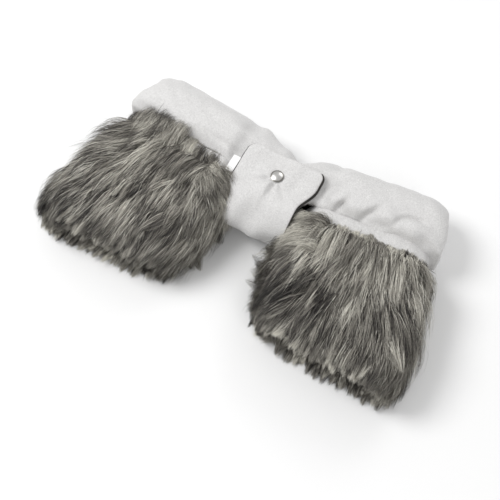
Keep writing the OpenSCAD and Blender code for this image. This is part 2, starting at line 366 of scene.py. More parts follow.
# Fur shades, from the palest hair to the darkest, each a plain socket colour
FUR_LIGHT, FUR_MID, FUR_DARK = (226, 223, 212), (148, 144, 135), (42, 39, 37)
SHADES = 14
FUR = []
for i in range(SHADES):
    f = i / (SHADES - 1)
    a, b, g = (FUR_LIGHT, FUR_MID, f * 2) if f < 0.5 else (FUR_MID, FUR_DARK, f * 2 - 1)
    shade = Tree(f"fur_{i:02d}")
    shade.put("Base Color", (*srgb(*[x + (y - x) * g for x, y in zip(a, b)]), 1))
    shade.put("Roughness", 0.6)
    shade.put("Specular IOR Level", 0.35)
    FUR.append(shade.mat)


# ---- Camera, floor and light -----------------------------------------------

AZIMUTH, ELEVATION, DISTANCE = math.radians(29), math.radians(66), 1.3
TARGET = Vector((0.0, 0.02, 0.04))
level = math.cos(ELEVATION)
back = Vector((math.sin(AZIMUTH) * level, -math.cos(AZIMUTH) * level, math.sin(ELEVATION)))
cam_data = bpy.data.cameras.new("camera")
camera = bpy.data.objects.new("camera", cam_data)
bpy.context.scene.collection.objects.link(camera)
bpy.context.scene.camera = camera
cam_data.sensor_width = 36
cam_data.lens = 72
camera.rotation_mode = "QUATERNION"
camera.rotation_quaternion = (-back).to_track_quat("-Z", "Y")
right = Vector((math.cos(AZIMUTH), math.sin(AZIMUTH), 0))
up = back.cross(right)
# The press stud sits a little right of the middle and above it
SNAP = Vector((0, SHIFT_Y, 0.086))
aim = SNAP - right * 0.0345 - up * 0.0945
aim -= back * ((aim - TARGET).dot(back))
camera.location = aim + back * DISTANCE
cam_data.clip_start, cam_data.clip_end = 0.05, 20

floor_t = Tree("studio_floor")
floor_t.put("Base Color", (0.86, 0.86, 0.86, 1))
floor_t.put("Roughness", 0.8)
floor_t.put("Specular IOR Level", 0.1)
FAR = 6
ground = [(-FAR, -FAR, 0), (FAR, -FAR, 0), (FAR, FAR, 0), (-FAR, FAR, 0)]
floor = new_object("floor", ground, [(0, 1, 2, 3)], [floor_t.mat])


def area_light(name, loc, size, power, target=(0, 0, 0.04)):
    data = bpy.data.lights.new(name, "AREA")
    data.shape = "DISK"
    data.size = size
    data.energy = power
    ob = bpy.data.objects.new(name, data)
    bpy.context.scene.collection.objects.link(ob)
    ob.location = loc
    ob.rotation_mode = "QUATERNION"
    ob.rotation_quaternion = (Vector(target) - Vector(loc)).to_track_quat("-Z", "Y")
    return ob


area_light("key", (-1.1, -0.3, 1.7), 1.0, 27)
area_light("fill", (1.6, -1.2, 1.3), 1.4, 9)
area_light("rim", (0.3, 1.9, 1.4), 1.2, 9)
world = bpy.data.worlds.new("studio")
bpy.context.scene.world = world
world.use_nodes = True
world.node_tree.nodes["Background"].inputs["Color"].default_value = (1, 1, 1, 1)
world.node_tree.nodes["Background"].inputs["Strength"].default_value = 0.58
bpy.context.scene.view_settings.view_transform = "Standard"


# ---- Padded body: rolls, sleeves and bridge --------------------------------


def cad_copy(names, label, extra=()):
    """One mesh that joins copies of CAD nodes, and extra closed shapes given as (points, faces)."""
    verts, faces = [], []
    for n in names:
        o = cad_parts[n]
        base = len(verts)
        verts += [tuple(v.co) for v in o.data.vertices]
        faces += [tuple(base + i for i in p.vertices) for p in o.data.polygons]
    for points, quads in extra:
        base = len(verts)
        verts += [tuple(p) for p in points]
        faces += [tuple(base + i for i in q) for q in quads]
    return new_object(label, verts, faces)


# A filling at the front of each end slit, so that the wall beside the crease is thick enough to remesh:
# its reach across, along and in height, in roll coordinates
PLUG_U, PLUG_V, PLUG_Z = (0.071, 0.0965), (0.001, 0.013), (MID_Z - 0.018, MID_Z + 0.018)
BOX_FACES = ((0, 1, 3, 2), (4, 6, 7, 5), (0, 4, 5, 1), (2, 3, 7, 6), (0, 2, 6, 4), (1, 5, 7, 3))
corners = np.array([(a, b, c) for a in PLUG_U for b in PLUG_V for c in PLUG_Z])
PLUGS = [(place(side, corners, ROLL_TURN), [q[::side] for q in BOX_FACES]) for side in (-1, 1)]

BODY_NODES = [f"{w}_{l}" for w in ("left", "bridge", "right") for l in ("shell", "wadding", "lining")]
body = cad_copy(BODY_NODES, "muff_body", PLUGS)
weld = body.modifiers.new("weld", "WELD")
weld.merge_threshold = 0.00002
apply_modifiers(body)
VOXEL = 0.0042
m = body.modifiers.new("remesh", "REMESH")
m.mode = "VOXEL"
m.voxel_size = VOXEL
apply_modifiers(body)


def tree_of(layer):
    """A search tree over one layer of the whole body."""
    ob = cad_copy([n for n in BODY_NODES if n.endswith(layer)], f"{layer}_layer")
    tree = BVHTree.FromObject(ob, bpy.context.evaluated_depsgraph_get())
    bpy.data.objects.remove(ob)
    return tree


# Inner faces line the pouches and the bridge, outer faces are the grey shell
shell_tree, lining_tree = tree_of("shell"), tree_of("lining")
co = points_of(body)
inner = np.array([lining_tree.find_nearest(p)[3] < shell_tree.find_nearest(p)[3] for p in map(Vector, co)])
# Small stray patches of lining on the outside take the shell's side, and so does the wall beside the crease
inner = relax(np.repeat(inner[:, None], 3, 1).astype(float), body.data, 10)[:, 0] > 0.5
loc = unplace(co)
WALL_U, WALL_V = 0.077, (-0.012, 0.0065)
inner &= ~((loc[:, 0] > WALL_U) & (loc[:, 1] < WALL_V[1]) & (loc[:, 1] > WALL_V[0]))

co = relax(co, body.data, 3)
loc = unplace(co)
u, v, z = loc[:, 0], loc[:, 1], loc[:, 2]
ax = np.abs(co[:, 0])
on_pouch = smooth(0.050, 0.078, ax)
on_roll = smooth(-0.006, 0.016, v) * on_pouch
high = (z - MID_Z) / MID_Z
# Rolls are plump in the middle, their ends close in like a pillow, and the fabric dips beside the flap
END_ZONE, END_SQUEEZE, END_SHIFT = 0.034, 0.24, 0.008
CROWN_RISE = 0.0080
DIP_DEPTH, DIP_X, DIP_WIDTH = 0.006, 0.0625, 0.009
roll_end = ROLL_HW - v * END_SLOPE
end = np.clip((u - (roll_end - END_ZONE)) / END_ZONE, 0, 1.15)
squeeze = 1 - END_SQUEEZE * end**2.6 * on_pouch
crown = CROWN_RISE * on_roll * np.sin(np.clip((u + 0.085) / 0.185, 0, 1) * math.pi) ** 0.7
crown *= np.clip(1 - ((v - 0.034) / 0.058) ** 2, 0, 1)
dip = -DIP_DEPTH * np.exp(-(((ax - DIP_X) / DIP_WIDTH) ** 2)) * smooth(-0.010, 0.016, v)
# The lips of the slit at each roll's end are drawn together
LIP_Z, LIP_WIDTH, LIP_PULL, LIP_GAP = 0.016, 0.010, 0.0140, 0.0014
lip = np.abs(z - MID_Z)
near_end = smooth(roll_end - 0.030, roll_end - 0.004, u) * smooth(-0.006, 0.008, v)
near_end = near_end * (1 - smooth(0.062, 0.078, v))
pulled = LIP_PULL * near_end * np.exp(-(((lip - LIP_Z) / LIP_WIDTH) ** 2))
z = MID_Z + np.sign(z - MID_Z) * np.where(pulled > 0.0004, np.maximum(lip - pulled, LIP_GAP), lip)
ends_back = -END_SHIFT * end**2 * np.clip((v - 0.03) / 0.05, 0, 1) * on_pouch
nz = MID_Z + (z - MID_Z) * squeeze + np.where(high > 0, (crown + dip) * high, 0)
flat = smooth(0.0, 0.020, z)
nz = z + (nz - z) * flat
moved = np.stack([u, v + ends_back, nz], 1)
co = np.where(co[:, 0:1] < 0, place(-1, moved, ROLL_TURN), place(1, moved, ROLL_TURN))
# The back edge runs on from the rolls, with a narrow notch where the flap draws the waist in
back_edge = smooth(SHIFT_Y + 0.020, SHIFT_Y + 0.060, co[:, 1])
fill = 0.0090 * smooth(0.016, 0.049, ax) * (1 - smooth(0.0495, 0.058, ax))
notch = -0.0120 * np.exp(-(((co[:, 0] - 0.010) / 0.015) ** 2))
co[:, 1] += (fill + notch) * back_edge
co = relax(co, body.data, 24, 0.5, np.exp(-(((ax - 0.050) / 0.012) ** 2)) * smooth(0.0, 0.02, v))
set_points(body, co)

start_co = points_of(body)
loc = unplace(start_co)
ax = np.abs(start_co[:, 0])
free = smooth(-0.004, 0.010, loc[:, 1]) * smooth(0.004, 0.02, start_co[:, 2])
free = free * (0.35 + 0.65 * smooth(0.050, 0.072, ax))
free[inner] *= 0.35

CLOTH_FRAMES, MOST_MOVE = 20, 0.007
group = body.vertex_groups.new(name="pin")
for i, w in enumerate(1 - free):
    group.add([i], float(w), "REPLACE")
cloth = body.modifiers.new("cloth", "CLOTH")
s = cloth.settings
s.quality = 6
s.mass = 0.25
s.tension_stiffness = s.compression_stiffness = 12
s.shear_stiffness = 5
s.bending_stiffness = 0.08
s.use_pressure = True
s.uniform_pressure_force = 4.0
s.effector_weights.gravity = 0
s.vertex_group_mass = "pin"
s.pin_stiffness = 1.0
cloth.collision_settings.use_collision = False
cloth.collision_settings.use_self_collision = False
cloth.point_cache.frame_start, cloth.point_cache.frame_end = 1, CLOTH_FRAMES
for f in range(1, CLOTH_FRAMES + 1):
    bpy.context.scene.frame_set(f)
apply_modifiers(body)
bpy.context.scene.frame_set(1)
move = points_of(body) - start_co
length = np.linalg.norm(move, axis=1, keepdims=True)
cap = (MOST_MOVE * free + 0.0001)[:, None]
move *= np.minimum(1, cap / np.maximum(length, 1e-9))
set_points(body, start_co + move)

inner_mark = body.data.attributes.new("inner", "FLOAT", "POINT")
inner_mark.data.foreach_set("value", inner.astype(np.float32))
subdivide(body)
co = points_of(body)
inner_w = np.empty(len(co), np.float32)
body.data.attributes["inner"].data.foreach_get("value", inner_w)

# Soft folds: along the crease, out from the flap, and loose waves on the rolls
nrm = normals_of(body)
loc = unplace(co)
u, v = loc[:, 0], loc[:, 1]
ax = np.abs(co[:, 0])
top = smooth(0.2, 0.7, nrm[:, 2])
outer = 1 - smooth(0.3, 0.7, inner_w)
pouch = smooth(0.055, 0.075, ax)
is_right = co[:, 0] > 0
warp = Noise(4, 0.055)(co) * 0.010


def spot(x, y, x0, y0, wx, wy, lean=0.0):
    """A soft round or slanted spot, 1 at its middle."""
    dx, dy = x - x0, y - y0
    return np.exp(-(((dx - lean * dy) / wx) ** 2) - (dy / wy) ** 2)


crease_folds = np.sin((u + warp * 1.3) / 0.0125) * np.exp(-(((v - 0.003) / 0.013) ** 2)) * 0.0014
flap_folds = np.sin((v * 1.35 + warp) / 0.0085) * np.exp(-(((ax - 0.064) / 0.020) ** 2)) * 0.0020
# Short tucks that run up from the crease of the right roll, the swellings between them, and the bulge near
# its end: (height, across, along, half width across, half length along, lean)
TUCKS = (
    (-0.0060, -0.042, 0.010, 0.0042, 0.010, 0.5),
    (-0.0055, -0.003, 0.014, 0.0050, 0.012, 0.7),
    (0.0035, -0.026, 0.010, 0.011, 0.009, 0.0),
    (0.0040, 0.018, 0.014, 0.013, 0.010, 0.0),
    (0.0058, 0.056, 0.012, 0.016, 0.012, 0.0),
)
TUCK_GAIN, CREASE_GAIN = 1.35, 1.4
tucks = sum(height * spot(u, v, *where) for height, *where in TUCKS)
# A curved fold round that bulge
RING_U, RING_V, RING_R, RING_WIDTH, RING_DEPTH = 0.054, 0.010, 0.0185, 0.0032, 0.0042
ring = np.hypot((u - RING_U) / 1.25, v - RING_V)
ring_fold = np.exp(-(((ring - RING_R) / RING_WIDTH) ** 2)) * smooth(0.006, 0.016, v)
tucks -= RING_DEPTH * ring_fold * (1 - smooth(0.056, 0.072, u))
# One long fold beside the label on the left roll, and a shallow one from the flap over the right roll
long_left = -0.0048 * spot(u, v, -0.050, 0.016, 0.024, 0.0050) * (co[:, 0] < 0)
slanted = (v - 0.034 - 0.55 * (u + 0.055)) / 0.0055
long_right = -0.0030 * np.exp(-(slanted**2) - ((u + 0.052) / 0.020) ** 2) * is_right
past_crease = smooth(-0.008, 0.002, v)
disp = top * pouch * (crease_folds * CREASE_GAIN + np.where(is_right, TUCK_GAIN * tucks, 0)) * past_crease
disp += top * (flap_folds + long_left + long_right) * smooth(0.045, 0.055, ax) * past_crease
loose = Noise(9, 0.060)(co * np.array([0.6, 1.2, 1])) * 0.0012 + Noise(10, 0.022)(co) * 0.00035
disp = disp + loose * smooth(-0.004, 0.012, v) * smooth(0.006, 0.02, co[:, 2])
co = co + nrm * (disp * outer)[:, None]
co[:, 2] = np.maximum(co[:, 2], 0.0002)
set_points(body, co)


def take_part(source, name, keep, mat):
    """A new object with the faces that keep marks. The whole mesh's normals hide the joints."""
    bm = bmesh.new()
    bm.from_mesh(source.data)
    bm.faces.ensure_lookup_table()
    normals = [v.normal.copy() for v in bm.verts]
    layer = bm.verts.layers.int.new("from")
    for v in bm.verts:
        v[layer] = v.index
    bmesh.ops.delete(bm, geom=[f for f, k in zip(bm.faces, keep) if not k], context="FACES")
    mesh = bpy.data.meshes.new(name)
    order = [v[layer] for v in bm.verts]
    for f in bm.faces:
        f.smooth = True
    bm.to_mesh(mesh)
    bm.free()
    mesh.materials.append(mat)
    mesh.normals_split_custom_set_from_vertices([normals[i] for i in order])
    ob = bpy.data.objects.new(name, mesh)
    bpy.context.scene.collection.objects.link(ob)
    return ob


centre = np.empty(len(body.data.polygons) * 3)
body.data.polygons.foreach_get("center", centre)
centre = centre.reshape(-1, 3)
inner_face = np.array([inner_w[list(p.vertices)].mean() > 0.5 for p in body.data.polygons])
SEAM_X = BRIDGE_HW + 0.0002
face_x = centre[:, 0]
thirds = {"left": face_x < -SEAM_X, "bridge": np.abs(face_x) <= SEAM_X, "right": face_x > SEAM_X}
for word, where in thirds.items():
    outer_part = take_part(body, f"{word}_shell_cloth", where & ~inner_face, SHELL)
    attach(outer_part, "muff")
    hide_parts(f"{word}_shell", f"{word}_wadding")
    lining_part = take_part(body, f"{word}_lining_cloth", where & inner_face, LINING)
    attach(lining_part, "muff")
    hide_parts(f"{word}_lining")
bpy.data.objects.remove(body)


# ---- Cuffs: hem, backing and fur -------------------------------------------


def oblong(a, hw, ht):
    """Points and outward normals at shares a round flat outlines with round ends, from the top's middle."""
    ex = hw - ht
    arc = math.pi * ht
    s = np.mod(a, 1.0) * (4 * ex + 2 * arc)
    b1, b2, b3, b4 = ex, ex + arc, 3 * ex + arc, 3 * ex + 2 * arc
    ang1, ang2 = (s - b1) / ht, (s - b3) / ht
    sel = [s < b1, s < b2, s < b3, s < b4]
    u = np.select(sel, [s, ex + ht * np.sin(ang1), ex - (s - b2), -(ex + ht * np.sin(ang2))], s - b4 - ex)
    z = np.select(sel, [ht + 0 * s, ht * np.cos(ang1), -ht + 0 * s, -ht * np.cos(ang2)], ht)
    nu = np.select(sel, [0 * s, np.sin(ang1), 0 * s, -np.sin(ang2)], 0)
    nz = np.select(sel, [1 + 0 * s, np.cos(ang1), -1 + 0 * s, -np.cos(ang2)], 1)
    return u, z, nu, nz


# Section of the cuff's backing: share of the way from its top edge to its mouth, and distance outside
# a flat outline of BASE_HW by BASE_HT. It turns in over the mouth.
BASE_HW, BASE_HT = 0.0715, 0.020
PROFILE = np.array([
    (0.000, 0.0105), (0.040, 0.0130), (0.160, 0.0145), (0.500, 0.0155), (0.800, 0.0145), (0.910, 0.0120),
    (0.970, 0.0075), (1.000, 0.0020), (0.990, -0.0020), (0.955, -0.0038), (0.900, -0.0040),
])
TOP_V, MOUTH_V = -0.0160, {"left": -0.1550, "right": -0.1615}
CUFF_LEN = TOP_V - MOUTH_V["right"]
_steps = np.hypot(np.diff(PROFILE[:, 0]) * CUFF_LEN, np.diff(PROFILE[:, 1]))
_along = np.r_[0, np.cumsum(_steps)]
PROFILE_LEN = _along[-1]
MOUTH_S = _along[int(np.argmax(PROFILE[:, 0]))]


def profile_at(s):
    """Share of the way to the mouth, offset, and the direction of travel, at length s along the section."""
    share = np.interp(s, _along, PROFILE[:, 0])
    off = np.interp(s, _along, PROFILE[:, 1])
    h = 0.005
    dv = -(np.interp(s + h, _along, PROFILE[:, 0]) - np.interp(s - h, _along, PROFILE[:, 0])) * CUFF_LEN
    do = np.interp(s + h, _along, PROFILE[:, 1]) - np.interp(s - h, _along, PROFILE[:, 1])
    n = np.hypot(dv, do).clip(1e-9)
    return share, off, dv / n, do / n


def backing_point(word, a, s):
    """Position, outward normal and direction towards the mouth, on the backing, in sleeve coordinates."""
    share, off, tv, to = profile_at(s)
    u, z, nu, nz = oblong(a, BASE_HW + off, BASE_HT + off)
    inner_corner = 0.012 * smooth(-0.030, -0.085, u) if word == "left" else 0.0
    v = (TOP_V - u * TOP_SLOPE) * (1 - share) + (MOUTH_V[word] - u * MOUTH_SLOPE + inner_corner) * share
    crown = 0.004 * np.clip(nz, 0, 1) * np.clip(1 - (u / 0.088) ** 2, 0, 1) * np.sin(math.pi * share)
    pos = np.stack([u, v, MID_Z + z + crown], -1)
    nrm = np.stack([nu * -tv, to * 1.0, nz * -tv], -1)
    flow = np.stack([nu * to, tv, nz * to], -1)
    nrm /= np.linalg.norm(nrm, axis=-1, keepdims=True).clip(1e-9)
    flow /= np.linalg.norm(flow, axis=-1, keepdims=True).clip(1e-9)
    return pos, nrm, flow


def ring_tube(name, side, rows, cols, position, mat):
    """A closed band. position(a, b): sleeve points for a round the sleeve and b round the section."""
    a, b = np.meshgrid(np.arange(cols) / cols, np.arange(rows) / rows, indexing="ij")
    p = place(side, position(a.ravel(), b.ravel()))
    return new_object(name, p, grid_faces(cols, rows, True, True, flip=side < 0), [mat])


def hem_position(seed):
    """A soft, flat, slightly puckered fold of shell fabric just below the crease."""
    pucker = Noise(seed, 0.055)
    fine = Noise(seed + 5, 0.016)

    def position(a, b):
        ang = 2 * math.pi * b
        u, z, nu, nz = oblong(a, SLEEVE_HW, SLEEVE_HT)
        here = np.stack([u, 0 * u, z], -1)
        fat = 0.0050 + 0.0012 * pucker(here) + 0.0004 * fine(here)
        off = 0.0006 + fat * (0.5 + 0.5 * np.sin(ang))
        along = -0.0085 + 0.0098 * np.cos(ang) + 0.0010 * pucker(here + 3)
        return np.stack([u + nu * off, along - u * TOP_SLOPE, MID_Z + z + nz * off], -1)

    return position


def nearest_of(points, centres):
    """Index of the nearest centre for every point."""
    tree = KDTree(len(centres))
    for i, c in enumerate(centres):
        tree.insert(c, i)
    tree.balance()
    return np.array([tree.find(p)[1] for p in points])


HAIR_STEPS = (0, 0.20, 0.45, 0.73, 1.0)
# Each cuff's hair is combed a little to one side, and the left one is a little darker
CUFF_TONE = {"left": 0.055, "right": 0.0}
SWEEP = {"left": math.radians(2), "right": math.radians(-13)}


def hair_curves(pos, nrm, flow, heading, lift, length, droop):
    """Centre lines that leave the backing at a lift, turned by heading from the way forward, and droop."""
    lateral = np.cross(flow, nrm)
    lateral *= np.where(lateral[:, 0:1] < 0, -1.0, 1.0)
    d = flow * np.cos(heading)[:, None] + lateral * np.sin(heading)[:, None]
    lines = []
    for t in HAIR_STEPS:
        along = t - 0.06 * t * t
        rise = t - 0.62 * t * t
        step = d * (np.cos(lift) * along)[:, None] + nrm * (np.sin(lift) * 1.5 * rise)[:, None]
        p = pos + length[:, None] * step
        p[:, 2] -= length * droop * t * t
        lines.append(p)
    return np.array(lines)


# Share of long single hairs and how much longer they are, and the share of the room ahead that hair fills
LONG_SHARE, LONG_FACTOR = 0.05, 1.25
ROOM_SHARE = (0.72, 1.08)
# Hair near the ground is eased up to this height, over this distance
GROUND_Z, GROUND_EASE = 0.0008, 0.0015
# Width of a ribbon at its first points, as a share of its full width
RIBBON_SHAPE = np.array([0.75, 1.0, 0.85, 0.5])


def make_fur(name, word, seed, count, area, length, lift, width, tone, heading=None, spread_by=0.10,
             locks=0.0042, droop=0.16, gather=0.42, patches=(), tips=(-0.06, -0.03, 0.03, 0.13), forward=0.0):
    """Tapered ribbons for one area of a cuff. area is (a from, a to, s from, s to), locks the distance
    between locks, gather how far they close up, tips the change of tone from root to tip."""
    r = np.random.default_rng(seed)
    side = SIDES[word]
    a0, a1, s0, s1 = area
    a, s = r.uniform(a0, a1, count), r.uniform(s0, s1, count)
    pos, nrm, flow = backing_point(word, a, s)
    round_way = 2 * math.pi * BASE_HT + 4 * (BASE_HW - BASE_HT) + 0.09
    lock_count = max(20, int((a1 - a0) * round_way * (s1 - s0) / locks**2))
    lpos, lnrm, lflow = backing_point(word, r.uniform(a0, a1, lock_count), r.uniform(s0, s1, lock_count))
    flow, lflow = (d * (1 - forward) + np.array([0, -forward, 0]) for d in (flow, lflow))
    tpos = lpos[r.permutation(lock_count)[: max(6, lock_count // 9)]]
    lock, tuft = nearest_of(pos, lpos), nearest_of(pos, tpos)

    broad, mid = Noise(seed + 1, 0.085), Noise(seed + 2, 0.034)
    swirl = Noise(81 + side, 0.110)

    def way(p, n):
        """Turn of the hair at a root: a fan across the sleeve, with slow swirls."""
        fan = np.radians(2 + 17 * p[:, 0] / 0.09) * np.abs(n[:, 2])
        own = 0 if heading is None else heading
        return fan + SWEEP[word] + np.radians(9) * swirl(p) + np.radians(5) * mid(p) + own

    lock_turn, tuft_turn = np.radians(r.normal(0, 5, lock_count)), np.radians(r.normal(0, 5, len(tpos)))
    lock_lift, lock_len = r.normal(0, 0.07, lock_count), np.exp(r.normal(0, 0.10, lock_count))
    tuft_len = np.exp(r.normal(0, 0.12, len(tpos)))
    lock_tone, tuft_tone = r.normal(0, 0.145, lock_count), r.normal(0, 0.100, len(tpos))
    lock_tuft = nearest_of(lpos, tpos)

    own_turn = way(pos, nrm) + lock_turn[lock] + tuft_turn[tuft]
    own_turn = own_turn + np.radians(r.normal(0, 4 if heading is None else 14, count))
    own_len = length * lock_len[lock] * tuft_len[tuft] * r.uniform(0.70, 1.10, count)
    own_len = own_len * np.where(r.random(count) < LONG_SHARE, LONG_FACTOR, 1)
    room = place(side, pos)[:, 1] - HAIR_LO[1]
    own_len = np.minimum(own_len, room * r.uniform(*ROOM_SHARE, count))
    mouth = smooth(0.86, 1.0, np.interp(s, _along, PROFILE[:, 0]))
    own_lift = (lift + lock_lift[lock] + r.normal(0, spread_by, count)) * (1 - 0.5 * mouth)
    mine = hair_curves(pos, nrm, flow, own_turn, own_lift, own_len, droop)
    lead_turn = way(lpos, lnrm) + lock_turn + tuft_turn[lock_tuft]
    lead_room = (place(side, lpos)[:, 1] - HAIR_LO[1]) * r.uniform(*ROOM_SHARE, lock_count)
    lead_len = np.minimum(length * lock_len * tuft_len[lock_tuft], lead_room)
    lead = hair_curves(lpos, lnrm, lflow, lead_turn, lift + lock_lift, lead_len, droop)
    spread = r.normal(0, 0.0013, (count, 3))
    phase = r.uniform(0, 6.28, (count, 1))
    pts = []
    for k, t in enumerate(HAIR_STEPS):
        w = gather * t**1.6
        in_lock = lead[k][lock] + spread * (1 - 0.65 * t)
        pts.append(mine[k] * (1 - w) + in_lock * w + 0.0005 * np.sin(8 * t + phase) * t)
    line = place(side, np.array(pts))

    # Hair stays above the ground and inside the room that the model has
    line[..., 2] = GROUND_Z + np.logaddexp(0, (line[..., 2] - GROUND_Z) / GROUND_EASE) * GROUND_EASE
    root = line[0]
    reach = line - root
    above, below = (line - HAIR_HI) / np.maximum(reach, 1e-6), (HAIR_LO - line) / np.maximum(-reach, 1e-6)
    over = np.maximum(above, below)
    over = np.where((line > HAIR_HI) | (line < HAIR_LO), over, 0).max(axis=(0, 2)).clip(0, 0.9)
    line = root + reach * (1 - over)[None, :, None]

    tang = np.gradient(line, axis=0)
    tang /= np.linalg.norm(tang, axis=-1, keepdims=True).clip(1e-9)
    facing = turn(side, nrm) + r.normal(0, 0.40, nrm.shape)
    across = np.cross(tang, facing[None])
    across /= np.linalg.norm(across, axis=-1, keepdims=True).clip(1e-9)
    widths = width * r.uniform(0.6, 1.35, count)
    half = across[:-1] * (RIBBON_SHAPE[:, None] * widths[None] * 0.5)[..., None]
    verts = np.concatenate([(line[:-1] - half).reshape(-1, 3), (line[:-1] + half).reshape(-1, 3), line[-1]])
    verts = np.clip(verts, HAIR_LO, HAIR_HI)
    n, i = len(HAIR_STEPS), np.arange(count)
    left = [k * count + i for k in range(n - 1)]
    right_ = [(n - 1 + k) * count + i for k in range(n - 1)]
    rows = [np.stack([left[k], right_[k], right_[k + 1], left[k + 1]], 1) for k in range(n - 2)]
    quads = np.concatenate(rows)
    tris = np.stack([left[-1], right_[-1], 2 * (n - 1) * count + i], 1)

    value = tone + CUFF_TONE[word] + 0.110 * broad(pos) + 0.090 * mid(pos + 5) + lock_tone[lock]
    value = value + tuft_tone[tuft] + r.normal(0, 0.17, count)
    for u0, s0_, size, amount in patches:
        value += amount * np.exp(-((pos[:, 0] - u0) ** 2 + (s - s0_) ** 2) / size**2)
    value = value[None] + np.array(tips)[:, None] + r.normal(0, 0.03, (n - 1, count))
    idx = np.clip((value * SHADES).astype(int), 0, SHADES - 1)
    return ribbon_mesh(name, verts, quads, tris, np.concatenate([idx[:-1].ravel(), idx[-1]]))


def ribbon_mesh(name, verts, quads, tris, shades):
    mesh = bpy.data.meshes.new(name)
    corners = np.concatenate([quads.ravel(), tris.ravel()])
    starts = np.concatenate([np.arange(len(quads)) * 4, len(quads) * 4 + np.arange(len(tris)) * 3])
    mesh.vertices.add(len(verts))
    mesh.vertices.foreach_set("co", verts.astype(np.float32).ravel())
    mesh.loops.add(len(corners))
    mesh.loops.foreach_set("vertex_index", corners.astype(np.int32))
    mesh.polygons.add(len(starts))
    mesh.polygons.foreach_set("loop_start", starts.astype(np.int32))
    mesh.polygons.foreach_set("material_index", shades.astype(np.int32))
    for m in FUR:
        mesh.materials.append(m)
    mesh.update(calc_edges=True)
    mesh.validate()
    ob = bpy.data.objects.new(name, mesh)
    bpy.context.scene.collection.objects.link(ob)
    return ob


def backing_sheet(word, side):
    """The knitted back of the fur, a thin closed layer that turns in over the mouth."""
    cols, rows = 200, 60
    a, s = np.meshgrid(np.arange(cols) / cols, np.linspace(0, PROFILE_LEN, rows), indexing="ij")
    pos, nrm, _ = backing_point(word, a.ravel(), s.ravel())
    pos = pos + nrm * (0.0008 * Noise(7 + side, 0.012)(pos))[:, None]
    p = place(side, np.concatenate([pos, pos - nrm * 0.0018]))
    p[:, 2] = np.maximum(p[:, 2], 0.0004)
    n0 = cols * rows
    faces = grid_faces(cols, rows, True, False, flip=side > 0)
    faces += grid_faces(cols, rows, True, False, base=n0, flip=side < 0)
    for i in range(cols):
        j = (i + 1) % cols
        for row, way in ((0, 1), (rows - 1, -1)):
            q = (i * rows + row, j * rows + row, n0 + j * rows + row, n0 + i * rows + row)
            faces.append(q if way * side < 0 else q[::-1])
    return new_object(f"{word}_cuff_backing", p, faces, [BACKING])


# Hair may stand out of the model's box by this much on each side, and stays just above the ground
CAD_LO, CAD_HI = (np.array(x) for x in CAD_BOX)
ROOM = (0.03 * (CAD_HI - CAD_LO) + 0.01) * 0.93
HAIR_LO = CAD_LO - ROOM
HAIR_HI = CAD_HI + ROOM
HAIR_LO[2] = 0.0003

# Darker and paler patches of each cuff's top: (across, along from the top edge, size, change of tone)
PATCHES = {
    "left": (
        (0.020, 0.112, 0.026, 0.26), (0.070, 0.080, 0.024, -0.14), (-0.045, 0.055, 0.022, -0.16),
        (0.0, 0.010, 0.016, 0.14), (-0.055, 0.115, 0.020, 0.14), (0.045, 0.040, 0.018, 0.10),
    ),
    "right": (
        (-0.055, 0.092, 0.024, 0.30), (-0.005, 0.116, 0.018, 0.18), (-0.015, 0.045, 0.020, -0.16),
        (0.062, 0.105, 0.022, -0.12), (0.036, 0.070, 0.016, 0.12), (-0.040, 0.020, 0.015, -0.10),
    ),
}
BACKWARD = math.pi
LIGHT_TIPS = (0.16, 0.10, 0.0, -0.12)


